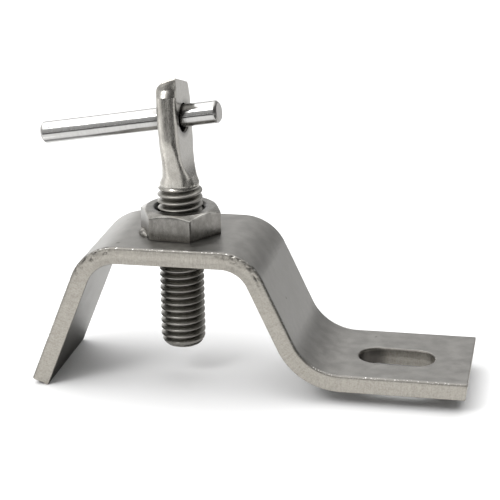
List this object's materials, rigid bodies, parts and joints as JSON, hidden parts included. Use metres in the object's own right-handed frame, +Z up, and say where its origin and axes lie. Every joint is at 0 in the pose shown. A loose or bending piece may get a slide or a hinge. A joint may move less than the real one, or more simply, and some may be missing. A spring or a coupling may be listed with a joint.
{
  "type": "ground clamp",
  "caption": "Bent steel strip clamp with a slotted foot and a nut tacked to its raised web; an eye-headed screw is driven down through the nut with a loose tommy bar.",
  "frame": {"origin": "under the middle of the whole clamp, level with its lowest edge, which is the end of the short leg", "axes": "+X along the strip towards the slotted foot, +Y across the strip, +Z up along the screw towards its eye"},
  "size_m": [0.0778, 0.022, 0.0541],
  "materials": {
    "sheet_steel": "satin rolled sheet with rough sheared edges",
    "nut_steel": "satin, faintly brushed along the flats",
    "weld_metal": "bright rippled bead",
    "screw_steel": "satin forged shank and darker rolled thread",
    "bar_steel": "polished"
  },
  "bodies": {
    "frame": {"bracket": "sheet_steel", "hex_nut": "nut_steel", "nut_tack_left": "weld_metal", "nut_tack_rear": "weld_metal"},
    "screw": {"clamp_screw": "screw_steel"},
    "bar": {"tommy_bar": "bar_steel"}
  },
  "joints": [
    {"name": "screw_advance", "type": "slide", "parent": "frame", "child": "screw", "axis": [0, 0, 1], "range_m": [-0.00375, 0.0175]},
    {"name": "bar_slide", "type": "slide", "parent": "screw", "child": "bar", "axis": [0.9811, -0.0858, 0.1736], "range_m": [-0.0055, 0.022]}
  ]
}
